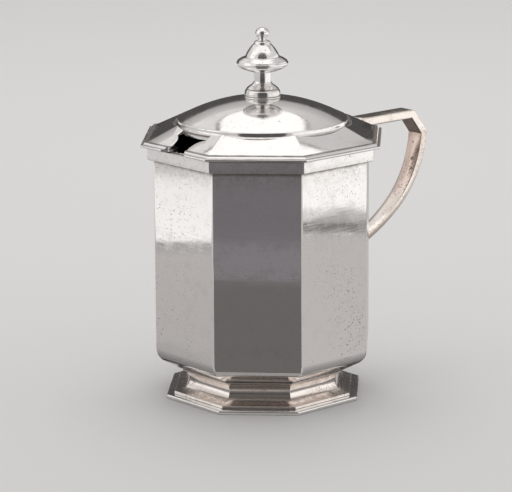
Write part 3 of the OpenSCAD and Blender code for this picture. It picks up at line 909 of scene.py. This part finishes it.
STUD_HOLE_R = 1.1
DOME_STEPS = 48
dome_radii = [SEAT_R + (DOME_R - SEAT_R) * i / DOME_STEPS for i in range(DOME_STEPS + 1)]
dome_outline = (
    [(STUD_HOLE_R, SEAT_Z)] + [(r, dome_z(r)) for r in dome_radii]
    + [(DOME_R, RING_LEDGE_Z), (DOME_R - SHEET, RING_LEDGE_Z)]
    + [(r, dome_z(r) - SHEET) for r in reversed(dome_radii) if r < DOME_R - 1.5 * SHEET]
    + [(STUD_HOLE_R, SEAT_Z - SHEET)]
)
piece("dome", turned(dome_outline), "lid", ["lid_dome"], lid_silver, sharp=28)

PAD_TOP_Z = 68.45
PAD_LOW_Z = 67.1
PAD_IN_A = 27.0
PAD_IN_T = 0.55
PAD_CREST_A = 28.95
pad_outline = [
    (LID_A, PAD_TOP_Z), (LID_A, PAD_LOW_Z), (29.717, 67.15), (29.45, 67.3), (PAD_CREST_A, 67.75),
    (LID_EDGE_IN_A, WIRE_IN_Z), (LID_EDGE_IN_A, FLANGE_EDGE_Z), (PAD_IN_A, flange_z(PAD_IN_A)),
    (PAD_IN_A, flange_z(PAD_IN_A) + PAD_IN_T), (PAD_CREST_A, 68.85),
]
link_outline = [(LID_A, PAD_TOP_Z), (LID_A, PAD_LOW_Z)] + arc(HINGE, KNUCKLE_R, 160, 120, 4)
lid_leaf_bm = plate(pad_outline, -STRAP_W / 2, STRAP_W / 2)
plate(link_outline, -MID_KNUCKLE, MID_KNUCKLE, lid_leaf_bm)
plate(arc(HINGE, KNUCKLE_R, 0, 352, 44), -MID_KNUCKLE, MID_KNUCKLE, lid_leaf_bm)
piece(
    "hinge_leaf_lid", lid_leaf_bm, "lid", ["lid_hinge_leaf"], hinge_silver,
    bevel=0.1, segments=2,
)


# Finial

STUD_R = 1.0
STUD_H = 4
STEM_R = 2.2
STEM_Z = SEAT_Z + 4.3
BOWL_Z = STEM_Z + 2.15
BRIM_Z = BOWL_Z + 2.35
BRIM_R = 6.6
BRIM_EDGE_R = 0.32
BELL_R = 4.3
BELL_Z = BRIM_Z + 1.8
BALL_SEAT_Z = BELL_Z + 3.75
BALL_Z = BALL_SEAT_Z + 2.086
BALL_R = 1.75
BALL_HALF_H = 1.5
BOWL_STEPS = 16
BOWL_POWER = 0.8
BELL_POWER = 1.4
BELL_CUT = 0.72
BASE_R = 4.8
BASE_RING_R = 0.2
BASE_RING_RISE = 0.22
SWEEP_STEPS = 40
# Steps of the base, as spans of the height above the seat and how far they stand out
GROOVE = (2.1, 2.33)
GROOVE_OUT = -0.16
RIDGE = (2.33, 3.05)
RIDGE_OUT = 0.12
# Band above the base's ring, as (in from the base's edge, height above the seat)
BASE_BAND = [(0.32, BASE_GROOVE_RISE), (0.24, 0.58), (0.2, 0.85), (0.22, 1.15)]
# Upper side of the brim, as (radius, height above the brim)
BRIM_TOP = [
    (BRIM_R - 0.22, 0.62), (BRIM_R - 0.35, 0.78), (5.75, 1.12), (5.5, 1.2), (5.42, 1.3),
    (4.9, 1.55), (4.55, 1.66),
]
# Collar and neck under the ball, as (radius, height above the ball's seat)
BALL_NECK = [
    (2.28, -0.66), (2.06, -0.6), (2.03, -0.5), (2.1, -0.4), (2.06, -0.15), (1.96, 0.0),
    (1.8, 0.08), (1.5, 0.2), (1.05, 0.38), (0.9, 0.6),
]

bowl = []
bell = []
for i in range(BOWL_STEPS + 1):
    t = i / BOWL_STEPS
    bowl_r = STEM_R + (BRIM_R - STEM_R) * math.sin(math.pi / 2 * t ** BOWL_POWER)
    bell_r = BELL_R - (BELL_R - BALL_R) * t ** BELL_POWER
    bowl.append((bowl_r, BOWL_Z + (BRIM_Z - BOWL_Z) * t))
    bell.append((bell_r, BELL_Z + (BALL_SEAT_Z - BELL_Z) * t))

base_steps = []
for r, z in sweep((BASE_R - 0.3, SEAT_Z + 1.4), (STEM_R, STEM_Z), SWEEP_STEPS):
    proud = 0.0
    if GROOVE[0] < z - SEAT_Z < GROOVE[1]:
        proud = GROOVE_OUT
    elif RIDGE[0] <= z - SEAT_Z < RIDGE[1]:
        proud = RIDGE_OUT
    base_steps.append((r + proud, z))

ball = [
    (r, BALL_Z + (z - BALL_Z) * BALL_HALF_H / BALL_R)
    for r, z in arc((0, BALL_Z), BALL_R, -59, 90, 20)
]
finial_outline = (
    [(0, SEAT_Z + STUD_H), (STUD_R, SEAT_Z + STUD_H), (STUD_R, SEAT_Z), (BASE_R - 0.25, SEAT_Z)]
    + arc((BASE_R - BASE_RING_R, SEAT_Z + BASE_RING_RISE), BASE_RING_R, -80, 80, 8)
    + [(BASE_R - inset, SEAT_Z + rise) for inset, rise in BASE_BAND]
    + base_steps
    + bowl
    + arc((BRIM_R - BRIM_EDGE_R, BRIM_Z + 0.12), BRIM_EDGE_R, -10, 60, 6)
    + [(r, BRIM_Z + rise) for r, rise in BRIM_TOP]
    + [(BELL_R - 0.06, BELL_Z - 0.1)]
    + [(r, z) for r, z in bell if z < BALL_SEAT_Z - BELL_CUT]
    + [(r, BALL_SEAT_Z + rise) for r, rise in BALL_NECK]
    + ball
)
piece(
    "knob", turned(finial_outline, FINIAL_ROUND), "lid", ["finial"], finial_silver,
    sharp=35,
)


# CAD solids that stay as they are, with a better material

for node in ("hinge_pin", "finial_stud", "finial_washer", "finial_nut"):
    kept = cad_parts[node]
    kept.data.materials.clear()
    kept.data.materials.append(hinge_silver)


# Studio: places are given to the viewer's right, away from the viewer and up, in metres

LOOK_AT = Vector((0.0, 0.0, 0.045))
FORWARD = Vector((0.649, 0.7277, -0.222)).normalized()
RIGHT = FORWARD.cross(Vector((0, 0, 1))).normalized()
AWAY = Vector((FORWARD.x, FORWARD.y, 0)).normalized()
DISTANCE = 0.7381
LENS = 201.46
SENSOR = 36.0
SHIFT = (-0.01383, -0.0505)
ROLL = math.radians(-0.271)
FLOOR = 3.0
FLOOR_DROP = 0.00002
FLOOR_CARD_Z = 0.0003
WHITE = (1.0, 0.985, 0.97)
WARM = (1.0, 0.955, 0.93)
ROSE = (1.0, 0.93, 0.99)


def spot(right, away, up):
    return RIGHT * right + AWAY * away + Vector((0, 0, up))


def lamp(name, place, size, radiance):
    """A soft box above the pot, facing down. A card at the same place shows it in the silver."""
    data = bpy.data.lights.new(name, "AREA")
    data.shape = "RECTANGLE"
    data.size, data.size_y = size
    data.energy = radiance * math.pi * size[0] * size[1]
    obj = new_object(name, data)
    turn = Matrix((RIGHT, AWAY, Vector((0, 0, 1)))).transposed().to_4x4()
    obj.matrix_world = Matrix.Translation(place) @ turn
    obj.visible_camera = False
    obj.visible_glossy = False


def card(name, corners, colour, strengths):
    """A plain card that only shows in reflections. strengths are those of its corners."""
    mesh = bpy.data.meshes.new(name)
    mesh.from_pydata([tuple(c) for c in corners], [], [tuple(range(len(corners)))])
    glow = mesh.attributes.new("glow", "FLOAT", "POINT")
    glow.data.foreach_set("value", strengths)
    material, n = blank_material(name)
    strength = n.add("ShaderNodeAttribute", attribute_name="glow").outputs["Fac"]
    shine = n.add("ShaderNodeEmission", {"Color": (*colour, 1.0), "Strength": strength})
    n.add("ShaderNodeOutputMaterial", {"Surface": shine.outputs[0]})
    mesh.materials.append(material)
    obj = new_object(name, mesh)
    obj.visible_camera = False
    obj.visible_diffuse = False
    obj.visible_shadow = False
    obj.visible_volume_scatter = False


def standing(name, away, right, up, colour, low, high):
    """An upright card between two ends, with a strength for its lower and its upper edge."""
    ends = [(right[0], away[0]), (right[1], away[1])]
    low_corners = [spot(u, v, up[0]) for u, v in ends]
    high_corners = [spot(u, v, up[1]) for u, v in reversed(ends)]
    card(name, low_corners + high_corners, colour, [low, low, high, high])


def lying(name, right, away, up, colour, left_glow, right_glow):
    """A level card with a strength for its left and its right edge."""
    corners = [
        spot(right[0], away[0], up), spot(right[1], away[0], up),
        spot(right[1], away[1], up), spot(right[0], away[1], up),
    ]
    card(name, corners, colour, [left_glow, right_glow, right_glow, left_glow])


def beside(turn, out, along):
    """A place just above the floor, out from a side of the pot and along that side.

    turn is how far the side is turned away from the viewer, in degrees.
    """
    c, s = math.cos(math.radians(turn)), math.sin(math.radians(turn))
    return spot(out * s + along * c, along * s - out * c, 2 * FLOOR_CARD_Z)


def skirt(name, turn, first, second, strengths):
    """A floor card before a turned side, between two lines of (distance out, start, end)."""
    corners = [beside(turn, first[0], along) for along in first[1:]]
    corners += [beside(turn, second[0], along) for along in reversed(second[1:])]
    card(name, corners, WARM, strengths)


def fan(name, near, far, colour, strengths):
    """A floor card before the front, between two lines of (distance away, left, right)."""
    corners = [spot(right, near[0], FLOOR_CARD_Z) for right in near[1:]]
    corners += [spot(right, far[0], FLOOR_CARD_Z) for right in reversed(far[1:])]
    card(name, corners, colour, strengths)


def soft_box(name, middle, size, corner, up, colour, strength):
    """A level card with round corners."""
    corners = []
    for k, (su, sv) in enumerate(((1, 1), (-1, 1), (-1, -1), (1, -1))):
        u, v = su * (size[0] / 2 - corner), sv * (size[1] / 2 - corner)
        round_corner = arc((middle[0] + u, middle[1] + v), corner, 90 * k, 90 * k + 90, 8)
        corners += [spot(right, away, up) for right, away in round_corner]
    card(name, corners, colour, [strength] * len(corners))


floor_mesh = bpy.data.meshes.new("floor")
floor_corners = [(-FLOOR, -FLOOR, 0), (FLOOR, -FLOOR, 0), (FLOOR, FLOOR, 0), (-FLOOR, FLOOR, 0)]
floor_mesh.from_pydata(floor_corners, [], [(0, 1, 2, 3)])
floor_material = bpy.data.materials.new("floor_paper")
floor_material.use_nodes = True
floor_shader = floor_material.node_tree.nodes["Principled BSDF"]
floor_shader.inputs["Base Color"].default_value = (0.76, 0.755, 0.75, 1.0)
floor_shader.inputs["Roughness"].default_value = 0.6
floor_shader.inputs["Specular IOR Level"].default_value = 0.0
floor_mesh.materials.append(floor_material)
floor = new_object("floor", floor_mesh)
floor.location = (0, 0, -FLOOR_DROP)

# Overhead
BOX_MIDDLE = (0.0, 0.285)
BOX_SIZE = (0.39, 0.67)
BOX_Z = 0.6
BOX_GLOW = 1.15
GLOW_Z = 0.61
GLOW_SPAN = (-0.7, 0.6)
lamp("overhead_lamp", spot(*BOX_MIDDLE, BOX_Z), BOX_SIZE, BOX_GLOW)
soft_box("overhead_box", BOX_MIDDLE, BOX_SIZE, 0.16, BOX_Z, WHITE, BOX_GLOW)
soft_box("overhead_frame", BOX_MIDDLE, (0.44, 0.7), 0.18, 0.605, WHITE, 0.36)
lying("glow_behind", GLOW_SPAN, (0.0, 0.78), GLOW_Z, WHITE, 0.9, 0.5)
lying("glow_before", GLOW_SPAN, (-0.36, 0.0), GLOW_Z, WHITE, 1.08, 1.08)

# Left and right: upright cards, the floor up to them, and the floor close to the pot
LEFT_X = -0.19
RIGHT_X = 0.243
RIGHT_FLOOR_X = 0.2
SIDE_SPAN = (-0.3, 0.3)
LEFT_SPAN = (-0.12, 0.3)
RIGHT_SPAN = (-0.14, 0.3)
LEFT_TURN = -41.5
RIGHT_TURN = 47.5
UNDER_OUT = 0.012
FOOT_OUT = 0.0225
NEAR_OUT = 0.055
UNDER_GLOW = 0.06
ARCH_GLOW = 0.44
# Floor at the right card's foot, as (right, away)
ARCH = [
    (RIGHT_FLOOR_X, -0.14), (0.214, -0.14), (0.217, -0.05), (0.227, -0.0456), (0.241, -0.0395),
    (0.241, -0.034), (0.232, -0.028), (0.226, 0.3), (RIGHT_FLOOR_X, 0.3),
]
standing("left_card", SIDE_SPAN, (LEFT_X, LEFT_X), (0, 0.024), WHITE, 1.03, 0.92)
standing("left_light", (-0.3, 0.05), (-0.5, -0.5), (0.06, 0.58), WHITE, 1.15, 1.15)
standing("right_card", SIDE_SPAN, (RIGHT_X, RIGHT_X), (0, 0.16), WHITE, 1.08, 1.0)
lying("left_floor", (LEFT_X, -0.03), LEFT_SPAN, FLOOR_CARD_Z, WARM, 0.5, 0.46)
lying("left_seam", (LEFT_X, -0.172), LEFT_SPAN, 2 * FLOOR_CARD_Z, WARM, 0.32, 0.48)
lying("right_floor", (0.03, RIGHT_FLOOR_X), RIGHT_SPAN, FLOOR_CARD_Z, WARM, 0.54, 0.53)
# The floor cards close to the pot glow less towards the foot, and those under the foot barely
# glow: a painted contact shadow, seen only in reflections
skirt(
    "left_near", LEFT_TURN, (FOOT_OUT, -0.036, 0.006), (NEAR_OUT, -0.055, 0.0),
    [0.2, 0.18, 0.46, 0.46],
)
skirt(
    "right_near", RIGHT_TURN, (FOOT_OUT, -0.006, 0.036), (NEAR_OUT, 0.0, 0.055),
    [0.2, 0.04, 0.54, 0.54],
)
for name, turn, start, end in (
    ("left_under", LEFT_TURN, -0.012, -0.036), ("right_under", RIGHT_TURN, 0.012, 0.036),
):
    skirt(name, turn, (FOOT_OUT, start, end), (UNDER_OUT, start, end), [UNDER_GLOW] * 4)
lying("right_edge", (RIGHT_FLOOR_X, RIGHT_X), RIGHT_SPAN, FLOOR_CARD_Z, WHITE, 1.05, 1.05)
arch_corners = [spot(right, away, 2 * FLOOR_CARD_Z) for right, away in ARCH]
card("right_arch", arch_corners, WARM, [ARCH_GLOW] * len(ARCH))
lying("right_seam", (RIGHT_FLOOR_X, 0.216), RIGHT_SPAN, 3 * FLOOR_CARD_Z, WARM, 0.3, 0.16)

# Front and back
FAN_LINE = (-0.15, -0.06, 0.07)
fan("front_near", (-0.031, -0.014, 0.013), FAN_LINE, WARM, [0.145, 0.145, 0.145, 0.145])
fan("front_card", FAN_LINE, (-0.9, -0.6, 0.55), ROSE, [0.17, 0.17, 0.18, 0.18])
lying("front_foot", (-0.016, 0.014), (-0.0305, -0.0255), FLOOR_CARD_Z, WARM, 0.34, 0.34)
lying("front_strip", (-0.1, 0.06), (-0.2, -0.15), 2 * FLOOR_CARD_Z, ROSE, 0.225, 0.225)
standing("front_wall", (-0.45, -0.45), (-0.28, 0.28), (0, 0.78), WARM, 0.07, 0.19)
standing("back_wall", (0.51, 0.51), (-0.6, 0.6), (0, 0.43), WARM, 0.1, 0.58)
standing("back_card", (0.5, 0.5), (-0.4, 0.4), (0, 0.27), WARM, 0.075, 0.075)

world = bpy.context.scene.world or bpy.data.worlds.new("studio")
bpy.context.scene.world = world
world.use_nodes = True
world.node_tree.nodes.clear()
w = Nodes(world.node_tree)
sky = w.add("ShaderNodeBackground", {"Color": (1.0, 0.99, 0.98, 1.0), "Strength": 0.7})
w.add("ShaderNodeOutputWorld", {"Surface": sky.outputs[0]})


# Camera

camera_data = bpy.data.cameras.new("camera")
camera_data.sensor_fit = "HORIZONTAL"
camera_data.sensor_width = SENSOR
camera_data.lens = LENS
camera_data.shift_x, camera_data.shift_y = SHIFT
camera_data.clip_start = 0.01
camera = new_object("camera", camera_data)
camera_place = Matrix.Translation(LOOK_AT - FORWARD * DISTANCE)
camera_turn = Matrix((RIGHT, RIGHT.cross(FORWARD), -FORWARD)).transposed().to_4x4()
camera.matrix_world = camera_place @ camera_turn @ Matrix.Rotation(ROLL, 4, "Z")
bpy.context.scene.camera = camera
bpy.context.scene.view_settings.view_transform = "Standard"

bpy.context.view_layer.update()
